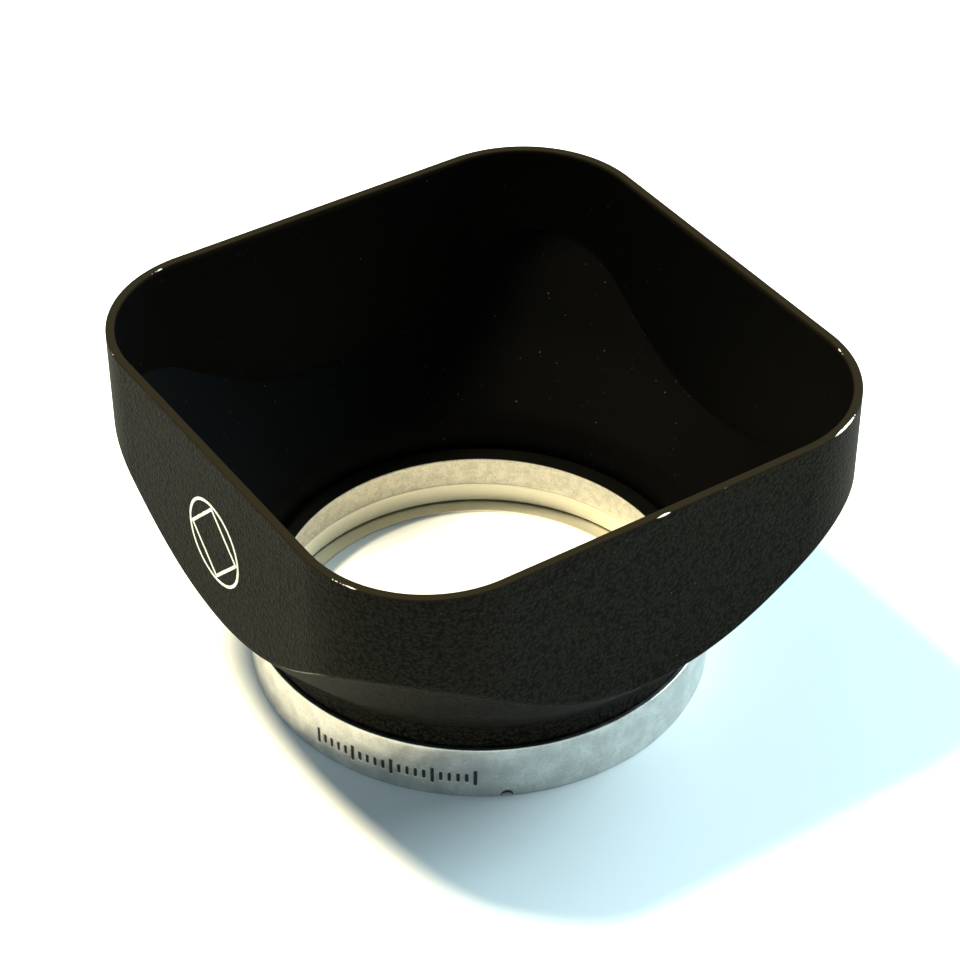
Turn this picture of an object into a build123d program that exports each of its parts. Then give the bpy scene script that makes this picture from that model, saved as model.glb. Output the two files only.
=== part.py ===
from build123d import *
import os
from math import atan2, cos, degrees, radians, sin, sqrt, tan

# Square-mouthed metal lens hood that pushes onto a round lens barrel, standing on its mounting ring.
# Millimetres. +Z is the optical axis, pointing out of the mouth. The origin is the centre of the
# ring's lower face. The emblem is on the -Y side.

# ---- Driving dimensions ----------------------------------------------------------------------------
# Hood shell
mouth_side = 63.2            # outside width of the square mouth
mouth_corner_radius = 13.8   # outside radius of the mouth's corners
hood_height = 38.95          # ring's lower face to rim
shell_wall = 0.95            # wall of the painted shell, and width of the rim's top face
corner_land = 10.95          # upright part of a corner, from the rim down to the ridge
rim_edge_radius = 0.18       # worn edges of the rim
ridge_radius = 0.45          # softened ridge between the upright sides and the funnel
neck_land = 2.4              # neck's lower edge to the corner where the funnel starts
neck_blend_share = 0.845     # blend between neck and funnel, as a share of the longest that fits
funnel_knee_reach = 0.506    # where the funnel turns steeper, as a share of its reach
funnel_knee_rise = 0.455     # and as a share of its height
funnel_knee_blend = 45.0     # blend at that turn
shoulder_drop = 0.6          # neck's lower edge down to the step that the flange holds down

# Mounting ring and push-on fitting, built outwards from the barrel
barrel_diameter = 42.0       # lens barrel that the hood pushes onto
socket_relief = 1.8          # socket beyond the barrel, on the radius
sleeve_wall = 0.5            # threaded shank of the retaining sleeve
hub_wall = 1.15              # hood's hub, turning between sleeve and band
band_wall = 0.55             # band outside the hub
neck_inset = 0.25            # neck inside the band's outside face
band_height = 6.65           # lower face to the band's upper edge
band_edge_chamfer = 0.15     # broken edges of the band
neck_gap = 0.55              # open gap between band and neck
sleeve_foot = 2.72           # height of the sleeve's lower end, seen as a fine line in the bore
thread_land = 1.3            # length of the sleeve's threaded seat in the ring
lip_reach = 0.94             # flange's lip inside the socket wall
flange_thickness = 0.5       # that lip, and the flange that holds the hood down
lip_edge_chamfer = 0.15      # lip's inner edges
hub_foot_chamfer = 0.12      # lead-in at the foot of the hub

# Grip ring: flat split spring in a counterbore at the foot of the bore
grip_thickness = 0.22
grip_seat_height = 0.38      # counterbore, which leaves a dark gap above the spring
grip_seat_depth = 0.45       # counterbore beyond the socket wall
grip_split = 3.0             # gap between the spring's ends
grip_split_angle = -40.0     # direction of the gap

# Drag washer: bowed spring washer under the hub
washer_thickness = 0.3
washer_bow = 0.35            # height of its bow
washer_side_clearance = 0.1

# Clearances
barrel_clearance = 0.05      # barrel in grip ring, on the radius
turning_clearance = 0.05     # hub in ring and on sleeve, on the radius and along the axis

# Emblem engraved on the -Y side: a ring round a square set on its corner
emblem_drop = 10.95          # rim to the emblem's centre
emblem_radius = 4.9
emblem_line = 0.34
emblem_depth = 0.12

# Index marks engraved round the band: a row of fine lines, every fifth one longer
mark_count = 21
mark_centre_angle = -55.0
mark_span = 41.0
mark_width = 0.36
mark_length = 1.2
long_mark_length = 2.1
long_mark_step = 5
mark_middle_height = 2.64
mark_depth = 0.15

# Shallow dimple at the band's lower edge
dimple_angle = -27.0
dimple_radius = 0.75
dimple_depth = 0.4

# ---- Sizes that follow ---------------------------------------------------------------------------
socket_radius = barrel_diameter / 2 + socket_relief
shank_radius = socket_radius + sleeve_wall
hub_bore_radius = shank_radius + turning_clearance
hub_radius = hub_bore_radius + hub_wall
channel_radius = hub_radius + turning_clearance
band_radius = channel_radius + band_wall
neck_radius = band_radius - neck_inset
neck_bore_radius = neck_radius - shell_wall
flange_radius = neck_bore_radius - turning_clearance
lip_radius = socket_radius - lip_reach
grip_bore_radius = barrel_diameter / 2 + barrel_clearance
grip_seat_radius = socket_radius + grip_seat_depth
washer_outer_radius = hub_radius - washer_side_clearance
washer_bore_radius = hub_bore_radius + washer_side_clearance

channel_floor = sleeve_foot + thread_land
hub_foot = channel_floor + washer_thickness + washer_bow + turning_clearance
neck_foot = band_height + neck_gap
shoulder_height = neck_foot - shoulder_drop
flange_foot = shoulder_height + turning_clearance
flange_top = flange_foot + flange_thickness

half_mouth = mouth_side / 2
inner_corner_radius = mouth_corner_radius - shell_wall
corner_reach = (half_mouth - mouth_corner_radius) * sqrt(2) + mouth_corner_radius

# ---- Funnel profile ------------------------------------------------------------------------------
neck_corner = (neck_radius, neck_foot + neck_land)
ridge_corner = (corner_reach, hood_height - corner_land)
knee = (
    neck_corner[0] + funnel_knee_reach * (ridge_corner[0] - neck_corner[0]),
    neck_corner[1] + funnel_knee_rise * (ridge_corner[1] - neck_corner[1]),
)
funnel_angle = degrees(atan2(knee[0] - neck_corner[0], knee[1] - neck_corner[1]))
upper_angle = degrees(atan2(ridge_corner[0] - knee[0], ridge_corner[1] - knee[1]))
neck_blend_radius = neck_blend_share * neck_land / tan(radians(funnel_angle / 2))


def moved_in(point, angle_below, angle_above, distance):
    """Corner of the profile moved inwards by a wall, between two lines at angles from the axis."""
    middle = radians((angle_below + angle_above) / 2)
    reach = distance / cos(radians((angle_above - angle_below) / 2))
    return (point[0] - reach * cos(middle), point[1] + reach * sin(middle))


def past(point, angle, distance):
    """Point further up a line that leans out at the angle from the axis."""
    return (point[0] + distance * sin(radians(angle)), point[1] + distance * cos(radians(angle)))


def funnel_body(foot, corner, turn, above, neck_blend, knee_blend):
    """Solid of revolution inside the profile foot - corner - turn - above."""
    with BuildPart() as funnel:
        with BuildSketch(Plane.XZ):
            with BuildLine():
                FilletPolyline(foot, corner, turn, above, radius=(neck_blend, knee_blend))
                Polyline(above, (0, above[1]), (0, foot[1]), foot)
            make_face()
        revolve(axis=Axis.Z)
    return funnel.part


outer_top = past(
    ridge_corner, upper_angle, (corner_land + 2 * shell_wall) / cos(radians(upper_angle))
)
outer_funnel = funnel_body(
    (neck_radius, neck_foot), neck_corner, knee, outer_top, neck_blend_radius, funnel_knee_blend
)
inner_funnel = funnel_body(
    (neck_bore_radius, shoulder_height),
    moved_in(neck_corner, 0, funnel_angle, shell_wall),
    moved_in(knee, funnel_angle, upper_angle, shell_wall),
    moved_in(outer_top, upper_angle, upper_angle, shell_wall),
    neck_blend_radius + shell_wall,
    funnel_knee_blend,
)

# ---- Hood body -----------------------------------------------------------------------------------
with BuildPart() as cavity:
    with BuildSketch(Plane.XY.offset(shoulder_height)):
        RectangleRounded(
            mouth_side - 2 * shell_wall, mouth_side - 2 * shell_wall, inner_corner_radius
        )
    extrude(amount=hood_height)
    add(inner_funnel, mode=Mode.INTERSECT)
    with BuildSketch(Plane.XY.offset(hub_foot)):
        Circle(hub_bore_radius)
    extrude(amount=shoulder_height - hub_foot)

with BuildPart() as hood_body:
    with BuildSketch(Plane.XY.offset(neck_foot)):
        RectangleRounded(mouth_side, mouth_side, mouth_corner_radius)
    extrude(amount=hood_height - neck_foot)
    add(outer_funnel, mode=Mode.INTERSECT)
    ridge_edges = hood_body.edges().filter_by(
        lambda edge: edge.geom_type in (GeomType.BSPLINE, GeomType.HYPERBOLA)
    )
    fillet(ridge_edges, radius=ridge_radius)
    add(cavity.part, mode=Mode.SUBTRACT)
    fillet(hood_body.faces().sort_by(Axis.Z)[-1].edges(), radius=rim_edge_radius)

    # Hub below the neck, turning inside the band and round the sleeve
    with BuildSketch(Plane.XZ):
        with BuildLine():
            Polyline(
                (hub_bore_radius, hub_foot),
                (hub_radius - hub_foot_chamfer, hub_foot),
                (hub_radius, hub_foot + hub_foot_chamfer),
                (hub_radius, neck_foot),
                (neck_bore_radius, neck_foot),
                (neck_bore_radius, shoulder_height),
                (hub_bore_radius, shoulder_height),
                close=True,
            )
        make_face()
    revolve(axis=Axis.Z)

    # Engraved emblem
    with BuildSketch(Plane.XZ.offset(half_mouth).move(Location((0, 0, hood_height - emblem_drop)))):
        Circle(emblem_radius)
        Circle(emblem_radius - emblem_line, mode=Mode.SUBTRACT)
        emblem_square = (emblem_radius - emblem_line) * sqrt(2)
        Rectangle(emblem_square, emblem_square, rotation=45)
        Rectangle(emblem_square - 2 * emblem_line, emblem_square - 2 * emblem_line, rotation=45,
                  mode=Mode.SUBTRACT)
    extrude(amount=-emblem_depth, mode=Mode.SUBTRACT)

hood_body.part.label = "hood_body"

# ---- Mounting ring: band, bore, hub channel and grip-ring seat ------------------------------------
with BuildPart() as mounting_ring:
    with BuildSketch(Plane.XZ):
        with BuildLine():
            Polyline(
                (grip_seat_radius, 0),
                (band_radius, 0),
                (band_radius, band_height),
                (channel_radius, band_height),
                (channel_radius, channel_floor),
                (shank_radius, channel_floor),
                (shank_radius, sleeve_foot),
                (socket_radius, sleeve_foot),
                (socket_radius, grip_seat_height),
                (grip_seat_radius, grip_seat_height),
                close=True,
            )
        make_face()
    revolve(axis=Axis.Z)
    band_edges = mounting_ring.edges().filter_by(GeomType.CIRCLE).filter_by(
        lambda edge: abs(edge.radius - band_radius) < 1e-4
    )
    chamfer(band_edges, length=band_edge_chamfer)

    # Engraved index marks
    for index in range(mark_count):
        angle = mark_centre_angle + mark_span * (index / (mark_count - 1) - 0.5)
        length = long_mark_length if index % long_mark_step == 0 else mark_length
        outward = Plane(
            origin=(
                band_radius * cos(radians(angle)),
                band_radius * sin(radians(angle)),
                mark_middle_height,
            ),
            x_dir=(0, 0, 1),
            z_dir=(cos(radians(angle)), sin(radians(angle)), 0),
        )
        with BuildSketch(outward.offset(mark_depth)):
            SlotOverall(length, mark_width)
        extrude(amount=-2 * mark_depth, mode=Mode.SUBTRACT)

    # Dimple at the lower edge
    with Locations(
        (
            (band_radius - dimple_depth + dimple_radius) * cos(radians(dimple_angle)),
            (band_radius - dimple_depth + dimple_radius) * sin(radians(dimple_angle)),
            band_edge_chamfer,
        )
    ):
        Sphere(dimple_radius, mode=Mode.SUBTRACT)

mounting_ring.part.label = "mounting_ring"

# ---- Retaining sleeve: threaded shank, and the flange over the hood's shoulder --------------------
with BuildPart() as retaining_sleeve:
    with BuildSketch(Plane.XZ):
        with BuildLine():
            Polyline(
                (socket_radius, sleeve_foot),
                (shank_radius, sleeve_foot),
                (shank_radius, flange_foot),
                (flange_radius, flange_foot),
                (flange_radius, flange_top),
                (lip_radius, flange_top),
                (lip_radius, flange_foot),
                (socket_radius, flange_foot),
                close=True,
            )
        make_face()
    revolve(axis=Axis.Z)
    lip_edges = retaining_sleeve.edges().filter_by(GeomType.CIRCLE).filter_by(
        lambda edge: abs(edge.radius - lip_radius) < 1e-4
    )
    chamfer(lip_edges, length=lip_edge_chamfer)

retaining_sleeve.part.label = "retaining_sleeve"

# ---- Grip ring: flat split spring ----------------------------------------------------------------
with BuildPart() as grip_ring:
    with BuildSketch(Plane.XY):
        Circle(grip_seat_radius)
        Circle(grip_bore_radius, mode=Mode.SUBTRACT)
        with PolarLocations(grip_seat_radius, 1, start_angle=grip_split_angle):
            Rectangle(2 * grip_seat_radius, grip_split, mode=Mode.SUBTRACT)
    extrude(amount=grip_thickness)

grip_ring.part.label = "grip_ring"

# ---- Drag washer: annulus cut from a gently bowed strip -------------------------------------------
bow_radius = (washer_outer_radius ** 2 + washer_bow ** 2) / (2 * washer_bow)
bow_centre_height = channel_floor + washer_bow - bow_radius

with BuildPart() as drag_washer:
    with BuildSketch(Plane.XY.offset(channel_floor)):
        Circle(washer_outer_radius)
        Circle(washer_bore_radius, mode=Mode.SUBTRACT)
    extrude(amount=washer_bow + 2 * washer_thickness)
    with BuildSketch(Plane.XZ.offset(-2 * washer_outer_radius)):
        with Locations((0, bow_centre_height)):
            Circle(bow_radius + washer_thickness)
            Circle(bow_radius, mode=Mode.SUBTRACT)
    extrude(amount=4 * washer_outer_radius, mode=Mode.INTERSECT)

drag_washer.part.label = "drag_washer"

# ---- Files ---------------------------------------------------------------------------------------
os.makedirs("parts", exist_ok=True)
export_step(hood_body.part, "parts/hood_body.step")
export_step(mounting_ring.part, "parts/mounting_ring.step")
export_step(retaining_sleeve.part, "parts/retaining_sleeve.step")
export_step(grip_ring.part, "parts/grip_ring.step")
export_step(drag_washer.part, "parts/drag_washer.step")
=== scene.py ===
import math

import bpy
import numpy as np
from mathutils import Matrix, Vector, noise


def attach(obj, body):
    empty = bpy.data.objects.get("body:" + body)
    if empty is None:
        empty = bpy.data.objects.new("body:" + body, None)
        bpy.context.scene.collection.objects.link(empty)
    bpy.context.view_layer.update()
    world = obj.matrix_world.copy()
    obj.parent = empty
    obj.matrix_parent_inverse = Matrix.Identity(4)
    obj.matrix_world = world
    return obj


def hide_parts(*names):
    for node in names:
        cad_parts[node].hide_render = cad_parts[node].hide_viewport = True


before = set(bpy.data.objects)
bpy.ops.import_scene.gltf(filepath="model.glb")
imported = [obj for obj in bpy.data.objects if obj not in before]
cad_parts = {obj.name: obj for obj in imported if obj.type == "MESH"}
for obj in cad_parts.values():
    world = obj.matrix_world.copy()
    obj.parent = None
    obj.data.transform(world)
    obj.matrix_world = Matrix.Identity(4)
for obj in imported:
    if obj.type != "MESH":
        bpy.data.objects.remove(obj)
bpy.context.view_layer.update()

# Vintage square lens hood. Sizes are in millimetres, as in the CAD, and meshes are scaled to metres
# when they are made. The hood stands mouth up on its ring, with the emblem on the -Y side.
MM = 0.001

# ---- Sizes, as in the CAD --------------------------------------------------------------------------
# Radii and half widths are measured from the axis, heights from the ring's lower face.
HALF_MOUTH = 31.6
CORNER = 13.8
HEIGHT = 38.95
WALL = 0.95
RIM_EDGE = 0.18
NECK = 24.85
NECK_FOOT = 7.2
NECK_CORNER = (NECK, 9.6)
RIDGE_CORNER = ((HALF_MOUTH - CORNER) * math.sqrt(2) + CORNER, 28.0)
KNEE = (
    NECK_CORNER[0] + 0.506 * (RIDGE_CORNER[0] - NECK_CORNER[0]),
    NECK_CORNER[1] + 0.455 * (RIDGE_CORNER[1] - NECK_CORNER[1]),
)
NECK_BLEND = 5.5
KNEE_BLEND = 45.0
RIDGE_BLEND = 0.34
HUB_BORE = 23.35
HUB = 24.5
HUB_FOOT = 4.72
HUB_CHAMFER = 0.12
SHOULDER = 6.6
SHOULDER_CHAMFER = 0.05

BAND = 25.1
BAND_HEIGHT = 6.65
CHANNEL = 24.55
CHANNEL_FLOOR = 4.02
SHANK = 23.3
SOCKET = 22.8
SLEEVE_FOOT = 2.72
LIP = 21.86
FLANGE_FOOT = 6.65
FLANGE_TOP = 7.15
FLANGE = 23.85
GRIP_SEAT = 23.25
GRIP_SEAT_HEIGHT = 0.38

EMBLEM_HEIGHT = 28.0
EMBLEM_RADIUS = 4.9
EMBLEM_LINE = 0.34

MARK_COUNT = 21
MARK_CENTRE = -55.0
MARK_SPAN = 41.0
MARK_WIDTH = 0.36
MARK_LENGTH = 1.2
LONG_MARK = 2.1
LONG_STEP = 5
MARK_HEIGHT = 2.64
MARK_DEPTH = 0.15
DIMPLE_ANGLE = -27.0
DIMPLE_RADIUS = 0.75
DIMPLE_DEPTH = 0.4
BAND_CHAMFER = 0.15


# ---- Profiles --------------------------------------------------------------------------------------
def arc_corner(before, corner, after, radius, steps):
    """Points of a fillet at a corner, in order."""
    p, a, b = (np.array(v, float) for v in (corner, before, after))
    u, v = (a - p) / np.linalg.norm(a - p), (b - p) / np.linalg.norm(b - p)
    half = math.acos(max(-1.0, min(1.0, float(u @ v)))) / 2
    centre = p + (u + v) / np.linalg.norm(u + v) * radius / math.sin(half)
    start, end = p + u * radius / math.tan(half), p + v * radius / math.tan(half)
    a0 = math.atan2(*(start - centre)[::-1])
    turn = (math.atan2(*(end - centre)[::-1]) - a0 + math.pi) % (2 * math.pi) - math.pi
    angles = a0 + turn * np.linspace(0, 1, steps + 1)
    return centre + radius * np.stack([np.cos(angles), np.sin(angles)], 1)


def open_profile(points, radii, steps=24):
    """Polyline through points with a fillet at each inner point."""
    out = [np.array([points[0]], float)]
    for i, radius in enumerate(radii, 1):
        out.append(arc_corner(points[i - 1], points[i], points[i + 1], radius, steps))
    out.append(np.array([points[-1]], float))
    return np.concatenate(out)


def closed_profile(corners, longest, steps=4):
    """Closed polygon of (r, z, radius) corners, filleted, its runs divided to the longest length."""
    n = len(corners)
    loop = []
    for i, (r, z, radius) in enumerate(corners):
        before, after = corners[i - 1][:2], corners[(i + 1) % n][:2]
        loop.extend(arc_corner(before, (r, z), after, radius, steps) if radius else [(r, z)])
    loop = np.array(loop, float)
    out = []
    for p, q in zip(loop, np.roll(loop, -1, 0)):
        pieces = max(1, math.ceil(np.linalg.norm(q - p) / longest))
        out.extend(p + (q - p) * k / pieces for k in range(pieces))
    return np.array(out)


# ---- Meshes ----------------------------------------------------------------------------------------
def torus_mesh(name, points, body, layers=None, sharp=180.0):
    """Closed mesh from points[profile, turn] in millimetres, wrapping both ways, with float layers."""
    rows, cols = points.shape[:2]
    index = np.arange(rows * cols).reshape(rows, cols)
    below, left = np.roll(index, -1, 0), np.roll(index, -1, 1)
    corner = np.roll(below, -1, 1)
    quads = np.stack([index, left, corner, below], -1).reshape(-1, 4)
    mesh = bpy.data.meshes.new(name)
    mesh.from_pydata((points.reshape(-1, 3) * MM).tolist(), [], quads.tolist())
    for key, values in (layers or {}).items():
        layer = mesh.attributes.new(key, "FLOAT", "POINT")
        layer.data.foreach_set("value", np.ascontiguousarray(values, np.float32).ravel())
    mesh.polygons.foreach_set("use_smooth", [True] * len(mesh.polygons))
    if sharp < 180:
        mesh.set_sharp_from_angle(angle=math.radians(sharp))
    mesh.update()
    piece = bpy.data.objects.new(name, mesh)
    bpy.context.scene.collection.objects.link(piece)
    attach(piece, body)
    return piece


def turned_points(profile, angles):
    """points[profile, turn] of a profile turned about Z."""
    r, z = profile[:, 0][:, None], profile[:, 1][:, None]
    return np.stack([r * np.cos(angles), r * np.sin(angles), z + 0 * angles], -1)


def smooth_step(x):
    x = np.clip(x, 0, 1)
    return x * x * (3 - 2 * x)


def drum_radius(angles, half, corner):
    """Distance from the axis to a rounded square, by azimuth."""
    c = np.maximum(abs(np.cos(angles)), abs(np.sin(angles)))
    s = np.minimum(abs(np.cos(angles)), abs(np.sin(angles)))
    b = half - corner
    along = b * (c + s)
    inside = np.maximum(along ** 2 - 2 * b * b + corner ** 2, 0)
    return np.where(half * s / c <= b, half / c, along + np.sqrt(inside))


def drum_angles(half, corner, count):
    """Azimuths of points evenly spaced along a rounded square."""
    fine = np.linspace(0, 2 * math.pi, 20001)
    r = drum_radius(fine, half, corner)
    x, y = r * np.cos(fine), r * np.sin(fine)
    length = np.concatenate([[0], np.cumsum(np.hypot(np.diff(x), np.diff(y)))])
    return np.interp(np.arange(count) / count * length[-1], length, fine)


def moved_in(point, below, above, distance):
    """Corner of a profile moved inwards by the wall, between lines at angles from the axis."""
    middle, reach = (below + above) / 2, distance / math.cos((above - below) / 2)
    return (point[0] - reach * math.cos(middle), point[1] + reach * math.sin(middle))


# ---- Hood shell ------------------------------------------------------------------------------------
low_angle = math.atan2(KNEE[0] - NECK_CORNER[0], KNEE[1] - NECK_CORNER[1])
high_angle = math.atan2(RIDGE_CORNER[0] - KNEE[0], RIDGE_CORNER[1] - KNEE[1])
beyond = (RIDGE_CORNER[0] + 12 * math.sin(high_angle), RIDGE_CORNER[1] + 12 * math.cos(high_angle))
outer_funnel = open_profile(
    [(NECK, NECK_FOOT), NECK_CORNER, KNEE, beyond], [NECK_BLEND, KNEE_BLEND]
)
inner_funnel = open_profile(
    [
        (NECK - WALL, SHOULDER),
        moved_in(NECK_CORNER, 0, low_angle, WALL),
        moved_in(KNEE, low_angle, high_angle, WALL),
        moved_in(beyond, high_angle, high_angle, WALL),
    ],
    [NECK_BLEND + WALL, KNEE_BLEND],
)


def meet(funnel, radius):
    """Height at which a funnel reaches a radius."""
    return np.interp(radius, funnel[:, 0], funnel[:, 1])


def column(*parts):
    return np.concatenate([np.atleast_2d(p) for p in parts])


# Rows of the shell's section, in order: the foot, up the outside, over the rim and down the inside.
FOOT_ROWS = 6
FUNNEL_ROWS = 64
BEND_ROWS = 6
WALL_ROWS = 33
EDGE_ROWS = 5
BEND_START = FOOT_ROWS + FUNNEL_ROWS
OUTSIDE_END = BEND_START + BEND_ROWS + WALL_ROWS
RIM_END = OUTSIDE_END + 3 * EDGE_ROWS
FUNNEL_LIFT = 0.1
MID_HUB = 5.9
MID_HUB_BORE = 5.7


def rising(count):
    """Evenly spaced numbers above 0, up to 1."""
    return np.linspace(0, 1, count + 1)[1:]


def shell_section(drum, inner_drum):
    """Closed section of the shell at one azimuth: (r, z) rows."""
    ridge, inner_ridge = float(meet(outer_funnel, drum)), float(meet(inner_funnel, inner_drum))
    foot = [(HUB_BORE, HUB_FOOT), (HUB - HUB_CHAMFER, HUB_FOOT), (HUB, HUB_FOOT + HUB_CHAMFER)]
    foot += [(HUB, MID_HUB), (HUB, NECK_FOOT), (NECK - HUB_CHAMFER, NECK_FOOT)]
    start = ridge - RIDGE_BLEND
    up = np.linspace(0, 1, FUNNEL_ROWS)
    heights = NECK_FOOT + FUNNEL_LIFT + (start - NECK_FOOT - FUNNEL_LIFT) * up
    funnel = np.stack([np.interp(heights, outer_funnel[:, 1], outer_funnel[:, 0]), heights], 1)
    a, b, c = funnel[-1], np.array([drum, ridge]), np.array([drum, ridge + RIDGE_BLEND])
    t = rising(BEND_ROWS)[:, None]
    bend = (1 - t) ** 2 * a + 2 * t * (1 - t) * b + t * t * c
    top = HEIGHT - RIM_EDGE
    wall_z = c[1] + (top - c[1]) * rising(WALL_ROWS)
    wall = np.stack([0 * wall_z + drum, wall_z], 1)
    q = np.linspace(0, math.pi / 2, EDGE_ROWS + 1)[1:]
    outer_edge = np.stack([drum - RIM_EDGE + RIM_EDGE * np.cos(q), top + RIM_EDGE * np.sin(q)], 1)
    rim_r = np.linspace(drum - RIM_EDGE, inner_drum + RIM_EDGE, EDGE_ROWS + 1)[1:]
    rim = np.stack([rim_r, 0 * rim_r + HEIGHT], 1)
    inner_edge = np.stack(
        [inner_drum + RIM_EDGE - RIM_EDGE * np.sin(q), top + RIM_EDGE * np.cos(q)], 1
    )
    down_z = top + (inner_ridge - top) * rising(WALL_ROWS)
    down = np.stack([0 * down_z + inner_drum, down_z], 1)
    low_z = inner_ridge + (SHOULDER - inner_ridge) * rising(FUNNEL_ROWS - 1)
    low = np.stack([np.interp(low_z, inner_funnel[:, 1], inner_funnel[:, 0]), low_z], 1)
    shoulder = [(HUB_BORE + SHOULDER_CHAMFER, SHOULDER), (HUB_BORE, SHOULDER - SHOULDER_CHAMFER)]
    shoulder += [(HUB_BORE, MID_HUB_BORE)]
    return column(foot, funnel, bend, wall, outer_edge, rim, inner_edge, down, low, shoulder)


COLUMNS = 720
turns = drum_angles(HALF_MOUTH, CORNER, COLUMNS)
drums = drum_radius(turns, HALF_MOUTH, CORNER)
inner_drums = drum_radius(turns, HALF_MOUTH - WALL, CORNER - WALL)
sections = np.stack([shell_section(a, b) for a, b in zip(drums, inner_drums)], 1)
ridges = meet(outer_funnel, drums)

section_r, section_z = sections[..., 0], sections[..., 1]
shell_points = np.stack(
    [section_r * np.cos(turns), section_r * np.sin(turns), section_z], -1
)
row = np.arange(len(sections))


def rows_between(first, end):
    """1 on a run of the section's rows all the way round, 0 elsewhere."""
    return ((row >= first) & (row < end)).astype(float)[:, None] + 0 * turns


# Gap given to the inside, so that the ridge's rub and painted highlight never show there.
FAR = 9.0
outer_edge_gap = np.hypot(section_r - drums, section_z - HEIGHT)
inner_edge_gap = np.hypot(section_r - inner_drums, section_z - HEIGHT)
on_outside = row[:, None] < OUTSIDE_END
ridge_gap = np.where(on_outside, np.hypot(section_r - drums, section_z - ridges), FAR)


def bumps(places):
    """Strength by azimuth from (middle, half width, strength) rows in degrees."""
    total = np.zeros_like(turns)
    for middle, width, strength in places:
        gap = (np.degrees(turns) - middle + 180) % 360 - 180
        total = np.maximum(total, strength * np.exp(-((gap / width) ** 2)))
    return total


# Worn places, and along the ridge places of rub and painted highlight: azimuth and half width in degrees, and
# strength.
outer_wear = bumps(
    [(-52, 6, 0.9), (0, 2.5, 1.1), (14, 6, 0.75), (37, 4.5, 1.2), (-122, 4, 0.8), (170, 8, 0.5)]
)
inner_wear = bumps([(56, 3, 0.9), (-146, 4, 0.85), (-35, 8, 0.5)])
ridge_rub_and_highlight_places = bumps([(-62, 10, 1.0), (-25, 10, 0.55), (150, 20, 0.5)])
EDGE_WEAR_AND_HIGHLIGHT_REACH = 0.22
PAINTED_EDGE_ROWS = 3

shell = torus_mesh(
    "hood_shell",
    shell_points,
    "hood",
    {
        "outside": rows_between(0, OUTSIDE_END + PAINTED_EDGE_ROWS),
        "funnel": rows_between(0, BEND_START),
        "rim": rows_between(OUTSIDE_END, RIM_END),
        "outer_edge": np.exp(-outer_edge_gap / EDGE_WEAR_AND_HIGHLIGHT_REACH) * outer_wear,
        "inner_edge": np.exp(-inner_edge_gap / EDGE_WEAR_AND_HIGHLIGHT_REACH) * inner_wear,
        "ridge": np.exp(-((ridge_gap / EDGE_WEAR_AND_HIGHLIGHT_REACH) ** 2)) * ridge_rub_and_highlight_places,
    },
    sharp=40,
)
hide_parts("hood_body")

# ---- Band: engraved marks and dimple -----------------------------------------------------------------
# Columns are closer together over the marks and the dimple than round the rest of the band.
FINE_FROM, FINE_TO = math.radians(-77.5), math.radians(-24.0)
FINE_COLUMNS = 360
COARSE_COLUMNS = 420
BAND_EDGE_BLEND = 0.13
CHANNEL_BLEND = 0.1
SOFT_EDGE = 0.05
LONGEST_RUN = 0.45
# Longest run of the outer face between the heights that hold the marks and the dimple.
FINE_RUN = 0.07
MARKED_FROM = 0.1
DIMPLE_TOP = 1.2
MARKS_FOOT = 1.3
MARKED_TO = 4.0
fine = np.linspace(FINE_FROM, FINE_TO, FINE_COLUMNS, endpoint=False)
coarse = np.linspace(FINE_TO, FINE_FROM + 2 * math.pi, COARSE_COLUMNS, endpoint=False)
band_angles = np.concatenate([fine, coarse])
band_profile = closed_profile(
    [
        (GRIP_SEAT, 0, 0),
        (BAND, 0, BAND_EDGE_BLEND),
        (BAND, DIMPLE_TOP, 0),
        (BAND, MARKS_FOOT, 0),
        (BAND, MARKED_TO, 0),
        (BAND, BAND_HEIGHT, BAND_EDGE_BLEND),
        (CHANNEL, BAND_HEIGHT, CHANNEL_BLEND),
        (CHANNEL, CHANNEL_FLOOR, 0),
        (SHANK, CHANNEL_FLOOR, 0),
        (SHANK, SLEEVE_FOOT, 0),
        (SOCKET, SLEEVE_FOOT, SOFT_EDGE),
        (SOCKET, GRIP_SEAT_HEIGHT, SOFT_EDGE),
        (GRIP_SEAT, GRIP_SEAT_HEIGHT, 0),
    ],
    LONGEST_RUN,
)


def refine(profile, low, high, step):
    """Divides the outer face's run between two heights more finely."""
    out = []
    for p, q in zip(profile, np.roll(profile, -1, 0)):
        on_face = min(p[0], q[0]) > BAND - 0.01
        inside = on_face and low - 1e-6 <= p[1] and q[1] <= high + 1e-6
        pieces = max(1, math.ceil((q[1] - p[1]) / step)) if inside else 1
        out.extend(p + (q - p) * k / pieces for k in range(pieces))
    return np.array(out)


band_profile = refine(band_profile, MARKED_FROM, MARKED_TO, FINE_RUN)
band_points = turned_points(band_profile, band_angles)
face = (band_profile[:, 0] > BAND - BAND_EDGE_BLEND - 0.01)[:, None]
height = band_profile[:, 1][:, None]
# Each mark's wall slopes over this width, starting this far outside the mark.
MARK_SLOPE = 0.1
MARK_SPREAD = 0.035


def along_band(azimuth):
    """Length round the band's face from an azimuth to each column."""
    return BAND * ((band_angles - azimuth + math.pi) % (2 * math.pi) - math.pi)


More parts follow.
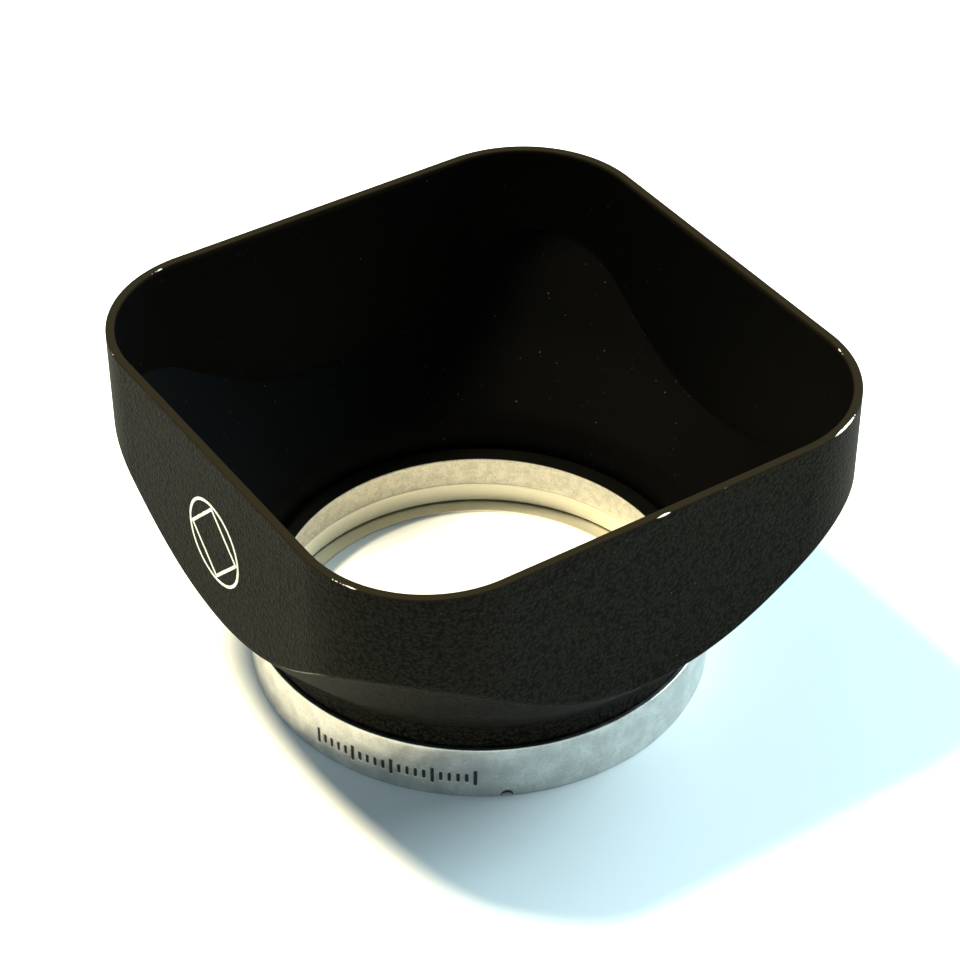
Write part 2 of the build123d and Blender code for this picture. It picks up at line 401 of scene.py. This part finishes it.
carve = np.zeros(band_points.shape[:2])
for index in range(MARK_COUNT):
    middle = math.radians(MARK_CENTRE + MARK_SPAN * (index / (MARK_COUNT - 1) - 0.5))
    length = LONG_MARK if index % LONG_STEP == 0 else MARK_LENGTH
    reach = (length - MARK_WIDTH) / 2
    past_end = np.maximum(abs(height - MARK_HEIGHT) - reach, 0)
    gap = np.hypot(along_band(middle), past_end)
    carve = np.maximum(carve, smooth_step((MARK_WIDTH / 2 + MARK_SPREAD - gap) / MARK_SLOPE))
carve = carve * face
across = along_band(math.radians(DIMPLE_ANGLE))
ball = DIMPLE_RADIUS ** 2 - across ** 2 - (height - BAND_CHAMFER) ** 2
dimple = np.maximum(DIMPLE_DEPTH - DIMPLE_RADIUS + np.sqrt(np.maximum(ball, 0)), 0) * face
depth = np.maximum(MARK_DEPTH * carve, dimple * (ball > 0))
scale = 1 - depth / np.maximum(band_profile[:, 0][:, None], 1)
band_points[..., 0] *= scale
band_points[..., 1] *= scale
band = torus_mesh(
    "band_ring",
    band_points,
    "mount",
    {"mark": carve, "dimple": (dimple > 0.02).astype(float)},
    sharp=35,
)
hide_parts("mounting_ring")

# ---- Sleeve, and the two springs, which stay as in the CAD ---------------------------------------------
SLEEVE_COLUMNS = 540
FLANGE_BLEND = 0.06
LIP_CHAMFER = 0.13
even_angles = np.linspace(0, 2 * math.pi, SLEEVE_COLUMNS, endpoint=False)
sleeve_profile = closed_profile(
    [
        (SOCKET, SLEEVE_FOOT, FLANGE_BLEND),
        (SHANK, SLEEVE_FOOT, 0),
        (SHANK, FLANGE_FOOT, 0),
        (FLANGE, FLANGE_FOOT, 0),
        (FLANGE, FLANGE_TOP, FLANGE_BLEND),
        (LIP + LIP_CHAMFER, FLANGE_TOP, SOFT_EDGE),
        (LIP, FLANGE_TOP - LIP_CHAMFER, SOFT_EDGE),
        (LIP, FLANGE_FOOT + LIP_CHAMFER, SOFT_EDGE),
        (LIP + LIP_CHAMFER, FLANGE_FOOT, SOFT_EDGE),
        (SOCKET, FLANGE_FOOT, SOFT_EDGE),
    ],
    LONGEST_RUN,
)
sleeve = torus_mesh("stop_sleeve", turned_points(sleeve_profile, even_angles), "mount", sharp=35)
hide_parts("retaining_sleeve")

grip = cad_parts["grip_ring"]
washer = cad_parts["drag_washer"]


# ---- Emblem: filled lines, a ring round a square set on its corner -----------------------------------------
def emblem_mesh(name):
    """Two loops of a line, slightly unsteady as if cut by hand, a hair proud of the hood's face."""
    face_y, proud, sunk = -HALF_MOUTH, 0.015, 0.06
    shake_reach, shake_scale = 0.035, 1.9
    verts, faces = [], []
    count = 160

    def outline(radius_at):
        angles = [2 * math.pi * k / count for k in range(count)]
        return [(radius_at(a) * math.cos(a), radius_at(a) * math.sin(a)) for a in angles]

    def diamond(size):
        return lambda a: size / (abs(math.cos(a)) + abs(math.sin(a)))

    inner_ring = EMBLEM_RADIUS - EMBLEM_LINE
    shapes = [
        (lambda a: EMBLEM_RADIUS, lambda a: inner_ring),
        (diamond(inner_ring), diamond(inner_ring - EMBLEM_LINE * math.sqrt(2))),
    ]
    for number, (outer_at, inner_at) in enumerate(shapes):
        outer, inner = [], []
        for radius_at, side, sign in ((outer_at, outer, 1), (inner_at, inner, -1)):
            for k, (x, z) in enumerate(outline(radius_at)):
                spot = Vector((x * shake_scale, z * shake_scale, 7.0 * number + sign))
                shake = shake_reach * noise.noise(spot)
                scale_by = 1 + shake / math.hypot(x, z)
                side.append((x * scale_by, z * scale_by))
        first = len(verts)
        for y in (face_y - proud, face_y + sunk):
            verts.extend((x, y, EMBLEM_HEIGHT + z) for x, z in outer)
            verts.extend((x, y, EMBLEM_HEIGHT + z) for x, z in inner)
        front_out, front_in, back_out, back_in = (first + count * k for k in range(4))
        for k in range(count):
            j = (k + 1) % count
            faces.append((front_out + k, front_out + j, front_in + j, front_in + k))
            faces.append((back_out + k, back_in + k, back_in + j, back_out + j))
            faces.append((front_out + k, back_out + k, back_out + j, front_out + j))
            faces.append((front_in + k, front_in + j, back_in + j, back_in + k))
    mesh = bpy.data.meshes.new(name)
    mesh.from_pydata([tuple(c * MM for c in v) for v in verts], [], faces)
    mesh.update()
    piece = bpy.data.objects.new(name, mesh)
    bpy.context.scene.collection.objects.link(piece)
    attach(piece, "hood")
    return piece


emblem = emblem_mesh("emblem_fill")


# ---- Materials -----------------------------------------------------------------------------------------
class Graph:
    """A material with short calls for its nodes. Vectors are object positions in millimetres."""

    def __init__(self, name):
        self.material = bpy.data.materials.new(name)
        self.material.use_nodes = True
        self.tree = self.material.node_tree
        self.tree.nodes.clear()
        output = self.add("ShaderNodeOutputMaterial")
        self.shader = self.add("ShaderNodeBsdfPrincipled")
        self.tree.links.new(self.shader.outputs[0], output.inputs[0])
        coords = self.add("ShaderNodeTexCoord")
        scale = self.add("ShaderNodeVectorMath", operation="SCALE")
        self.tree.links.new(coords.outputs["Object"], scale.inputs[0])
        scale.inputs["Scale"].default_value = 1 / MM
        self.place = scale.outputs[0]

    def add(self, kind, **settings):
        node = self.tree.nodes.new(kind)
        for key, value in settings.items():
            setattr(node, key, value)
        return node

    def feed(self, socket, value):
        if isinstance(value, bpy.types.NodeSocket):
            self.tree.links.new(value, socket)
        elif value is not None:
            socket.default_value = value

    def math(self, operation, a, b=None, clamp=False):
        node = self.add("ShaderNodeMath", operation=operation, use_clamp=clamp)
        for socket, value in zip(node.inputs, (a, b)):
            self.feed(socket, value)
        return node.outputs[0]

    def mix(self, a, a_share, b, b_share):
        """Weighted sum of two values."""
        return self.math(
            "ADD", self.math("MULTIPLY", a, a_share), self.math("MULTIPLY", b, b_share)
        )

    def plus(self, start, value, share):
        """A number and a share of a value."""
        return self.math("ADD", start, self.math("MULTIPLY", value, share))

    def noise(self, scale, detail=2.0, rough=0.5, vector=None):
        """Noise with a scale in cycles per millimetre."""
        node = self.add("ShaderNodeTexNoise")
        self.feed(node.inputs["Vector"], vector or self.place)
        for key, value in (("Scale", scale), ("Detail", detail), ("Roughness", rough)):
            node.inputs[key].default_value = value
        return node.outputs["Fac"]

    def soft_cells(self, scale, smooth):
        """Distance to the nearest of scattered points, smoothed where two are near."""
        node = self.add("ShaderNodeTexVoronoi", feature="SMOOTH_F1")
        self.feed(node.inputs["Vector"], self.place)
        node.inputs["Scale"].default_value = scale
        node.inputs["Smoothness"].default_value = smooth
        return node.outputs["Distance"]

    def stretch(self, x, y, z):
        node = self.add("ShaderNodeVectorMath", operation="MULTIPLY")
        self.feed(node.inputs[0], self.place)
        node.inputs[1].default_value = (x, y, z)
        return node.outputs[0]

    def layer(self, name):
        return self.add("ShaderNodeAttribute", attribute_name=name).outputs["Fac"]

    def axis(self, letter):
        node = self.add("ShaderNodeSeparateXYZ")
        self.feed(node.inputs[0], self.place)
        return node.outputs[letter]

    def radius(self):
        return self.math(
            "SQRT",
            self.math(
                "ADD",
                self.math("POWER", self.axis("X"), 2.0),
                self.math("POWER", self.axis("Y"), 2.0),
            ),
        )

    def ramp(self, value, low, high):
        """Rises smoothly from 0 at low to 1 at high."""
        node = self.add("ShaderNodeMapRange", interpolation_type="SMOOTHSTEP")
        self.feed(node.inputs["Value"], value)
        node.inputs["From Min"].default_value = low
        node.inputs["From Max"].default_value = high
        return node.outputs[0]

    def blend(self, amount, a, b):
        """Colour a where amount is 0, b where it is 1."""
        node = self.add("ShaderNodeMix", data_type="RGBA")
        self.feed(node.inputs["Factor"], amount)
        for key, value in (("A", a), ("B", b)):
            socket = [s for s in node.inputs if s.name == key and s.type == "RGBA"][0]
            self.feed(socket, (*value, 1.0) if isinstance(value, tuple) else value)
        return [s for s in node.outputs if s.type == "RGBA"][0]

    def bump(self, height, distance, strength=1.0):
        node = self.add("ShaderNodeBump")
        self.feed(node.inputs["Height"], height)
        node.inputs["Distance"].default_value = distance * MM
        self.feed(node.inputs["Strength"], strength)
        return node.outputs[0]

    def set(self, **values):
        for key, value in values.items():
            if isinstance(value, tuple):
                value = (*value, 1.0)
            self.feed(self.shader.inputs[key.replace("_", " ")], value)
        return self.material


def paint_material():
    """Crinkled paint outside, smooth and darker inside, chipped at the rim, worn by rubbing and lightened by
    a painted highlight along the ridge, with a warmer copy on the funnel as painted bounce light.
    """
    g = Graph("crinkle_paint")
    outside, rim = g.layer("outside"), g.layer("rim")
    crinkle = g.mix(g.soft_cells(2.5, 0.3), 0.8, g.noise(4.2, 3.0, 0.65), 0.9)
    chips = g.noise(2.2, 5.0, 0.65)
    ridge_streaks = g.noise(1.0, 4.0, 0.6, g.stretch(0.5, 0.5, 6.0))
    outer_chips = g.ramp(g.plus(g.layer("outer_edge"), chips, 0.6), 0.86, 0.9)
    inner_chips = g.ramp(g.plus(g.layer("inner_edge"), chips, 0.6), 0.86, 0.9)
    worn = g.math("ADD", outer_chips, inner_chips, clamp=True)
    ridge_rub_and_highlight = g.ramp(g.plus(g.layer("ridge"), ridge_streaks, 0.6), 0.8, 1.2)
    dust = g.ramp(g.noise(3.4, 2.0, 0.5), 0.76, 0.785)

    # The wall's paint, and below it the funnel's own warmer copy with lighter crests and darker pits: painted
    # warm light bounced up from the floor under the ridge.
    upper = g.blend(g.ramp(crinkle, 0.5, 1.2), (0.0105, 0.0105, 0.0078), (0.0018, 0.0018, 0.0013))
    lower = g.blend(g.ramp(crinkle, 0.55, 1.1), (0.013, 0.0115, 0.0075), (0.0005, 0.0005, 0.0004))
    base = g.blend(outside, (0.0006, 0.0006, 0.0004), g.blend(g.layer("funnel"), upper, lower))
    base = g.blend(g.math("MULTIPLY", dust, 0.35), base, (0.3, 0.29, 0.25))
    base = g.blend(rim, base, (0.01, 0.0075, 0.0035))
    # Painted highlight along the ridge, over the paint worn there by rubbing: a light grey streak that is not
    # metallic.
    base = g.blend(g.math("MULTIPLY", ridge_rub_and_highlight, 0.45), base, (0.35, 0.33, 0.28))
    base = g.blend(worn, base, (0.8, 0.77, 0.7))

    crinkled = g.math("MULTIPLY", outside, g.math("SUBTRACT", 1.0, rim))
    return g.set(
        Base_Color=base,
        Metallic=worn,
        Roughness=g.plus(0.66, outside, -0.08),
        Normal=g.bump(crinkle, 0.11, g.plus(0.06, crinkled, 0.9)),
        Specular_IOR_Level=g.plus(g.plus(0.03, outside, -0.01), worn, 0.4),
    )


def band_material():
    """Satin metal with a speckled patina outside, a polish in the bore coloured as a painted warm reflection,
    its marks filled black.
    """
    g = Graph("satin_aluminium")
    spots = g.noise(9.0, 3.0, 0.6)
    pits = g.ramp(g.noise(5.5, 2.0, 0.6), 0.66, 0.72)
    clouds = g.noise(0.45, 4.0, 0.6)
    turning = g.noise(1.0, 2.0, 0.5, g.stretch(0.15, 0.15, 22.0))
    beyond_bore = g.ramp(g.radius(), SOCKET + 0.04, SOCKET + 0.1)
    mark = g.ramp(g.layer("mark"), 0.25, 0.55)
    patina = g.ramp(g.mix(spots, 0.5, clouds, 0.5), 0.42, 0.62)

    base = g.blend(patina, (0.5, 0.495, 0.465), (0.7, 0.695, 0.66))
    base = g.blend(g.math("MULTIPLY", pits, 0.75), base, (0.12, 0.11, 0.09))
    # The bore's bright warm cream is a painted reflection of the lit floor over its polish; the bore is only
    # 0.45 metallic, so that this colour shows evenly.
    polish_and_painted_reflection = g.blend(clouds, (0.86, 0.8, 0.63), (0.95, 0.89, 0.72))
    base = g.blend(beyond_bore, polish_and_painted_reflection, base)
    base = g.blend(g.layer("dimple"), base, (0.12, 0.13, 0.13))
    base = g.blend(mark, base, (0.01, 0.01, 0.01))
    return g.set(
        Base_Color=base,
        Metallic=g.math("SUBTRACT", g.plus(0.45, beyond_bore, 0.55), mark, clamp=True),
        Roughness=g.plus(g.plus(0.52, patina, 0.1), beyond_bore, -0.2),
        Normal=g.bump(g.mix(turning, 0.5, spots, 0.5), 0.012),
    )


def sleeve_material():
    """Matte, pitted metal, its top blackened."""
    g = Graph("sleeve_aluminium")
    top = g.ramp(g.axis("Z"), FLANGE_TOP - 0.1, FLANGE_TOP - 0.03)
    spots = g.noise(6.0, 3.0, 0.6)
    pits = g.ramp(g.noise(4.5, 2.0, 0.6), 0.62, 0.7)
    clouds = g.noise(0.9, 4.0, 0.65)
    patina = g.ramp(g.mix(spots, 0.5, clouds, 0.5), 0.4, 0.6)
    base = g.blend(patina, (0.44, 0.41, 0.345), (0.6, 0.565, 0.48))
    base = g.blend(g.math("MULTIPLY", pits, 0.6), base, (0.2, 0.18, 0.13))
    base = g.blend(top, base, (0.0008, 0.0008, 0.0006))
    return g.set(
        Base_Color=base,
        Metallic=g.math("SUBTRACT", 1.0, top),
        Roughness=g.plus(0.42, spots, 0.2),
        Normal=g.bump(spots, 0.02),
        Specular_IOR_Level=g.plus(0.5, top, -0.46),
    )


def steel_material():
    g = Graph("spring_steel")
    spots = g.noise(5.0, 3.0, 0.6)
    return g.set(
        Base_Color=g.blend(spots, (0.55, 0.52, 0.43), (0.8, 0.76, 0.64)),
        Metallic=1.0,
        Roughness=g.plus(0.3, spots, 0.2),
        Normal=g.bump(spots, 0.01),
    )


def enamel_material():
    g = Graph("emblem_enamel")
    spots = g.noise(5.0, 3.0, 0.6)
    base = g.blend(g.ramp(spots, 0.35, 0.6), (0.5, 0.48, 0.42), (0.82, 0.8, 0.74))
    return g.set(Base_Color=base, Roughness=0.5, Normal=g.bump(spots, 0.01))


def dress(piece, material):
    piece.data.materials.clear()
    piece.data.materials.append(material)


dress(shell, paint_material())
dress(band, band_material())
dress(sleeve, sleeve_material())
steel = steel_material()
dress(grip, steel)
dress(washer, steel)
dress(emblem, enamel_material())


# ---- Floor, light and camera -----------------------------------------------------------------------------
# Places and lengths from here on are in metres, apart from the sensor.
FLOOR_REACH = 3.0
FLOOR_HEIGHT = -0.00002


def floor():
    mesh = bpy.data.meshes.new("floor")
    corners = [(x * FLOOR_REACH, y * FLOOR_REACH, 0) for x, y in ((-1, -1), (1, -1), (1, 1), (-1, 1))]
    mesh.from_pydata(corners, [], [(0, 1, 2, 3)])
    piece = bpy.data.objects.new("floor", mesh)
    piece.location.z = FLOOR_HEIGHT
    bpy.context.scene.collection.objects.link(piece)
    g = Graph("floor")
    paper = g.blend(g.noise(0.05, 2.0, 0.5), (0.86, 0.86, 0.85), (0.88, 0.88, 0.87))
    dress(piece, g.set(Base_Color=paper, Roughness=0.8))


def area_light(name, place, size, power, colour):
    """Round soft light that points at the origin."""
    data = bpy.data.lights.new(name, "AREA")
    data.shape = "DISK"
    data.size = size
    data.energy = power
    data.color = colour
    lamp = bpy.data.objects.new(name, data)
    lamp.location = place
    lamp.rotation_mode = "QUATERNION"
    lamp.rotation_quaternion = (-place).to_track_quat("-Z", "Y")
    bpy.context.scene.collection.objects.link(lamp)


# The camera's azimuth is counted from -Y towards +X.
CAMERA_AZIMUTH = math.radians(56.40)
CAMERA_ELEVATION = math.radians(39.10)
CAMERA_ROLL = math.radians(-0.01)
CAMERA_PLACE = (0.19140, -0.12706, 0.20852)
IMAGE_SIDE = 960
FOCAL_PIXELS = 2806.5
SENSOR = 36.0

image_right = Vector((math.cos(CAMERA_AZIMUTH), math.sin(CAMERA_AZIMUTH), 0))
image_away = Vector((-math.sin(CAMERA_AZIMUTH), math.cos(CAMERA_AZIMUTH), 0))


def camera():
    a, e = CAMERA_AZIMUTH, CAMERA_ELEVATION
    back = Vector((math.sin(a) * math.cos(e), -math.cos(a) * math.cos(e), math.sin(e)))
    side = Vector((0, 0, 1)).cross(back).normalized()
    up = back.cross(side)
    c, s = math.cos(CAMERA_ROLL), math.sin(CAMERA_ROLL)
    side, up = c * side + s * up, c * up - s * side
    data = bpy.data.cameras.new("camera")
    data.sensor_width = SENSOR
    data.lens = SENSOR * FOCAL_PIXELS / IMAGE_SIDE
    data.clip_start, data.clip_end = 0.01, 20.0
    eye = bpy.data.objects.new("camera", data)
    eye.matrix_world = Matrix.Translation(CAMERA_PLACE) @ Matrix(
        (side, up, back)
    ).transposed().to_4x4()
    bpy.context.scene.collection.objects.link(eye)
    bpy.context.scene.camera = eye


def sky(colour, strength):
    world = bpy.data.worlds.new("sky")
    world.use_nodes = True
    backdrop = world.node_tree.nodes["Background"]
    backdrop.inputs["Color"].default_value = (*colour, 1.0)
    backdrop.inputs["Strength"].default_value = strength
    bpy.context.scene.world = world


floor()
camera()
sky((0.6, 0.86, 1.0), 0.42)

# A small warm light nearly overhead makes the shadow, and a broad cool one from the right opens it up.
key_place = Vector((-13.0, -10.5, 38.95)).normalized()
area_light("key", key_place, 0.19, 24.0, (1.0, 0.9, 0.62))
fill_place = (image_right * 0.75 + image_away * 0.42 + Vector((0, 0, 0.55))).normalized()
area_light("window", fill_place, 0.8, 18.5, (0.68, 0.92, 1.0))
bpy.context.scene.view_settings.view_transform = "Standard"
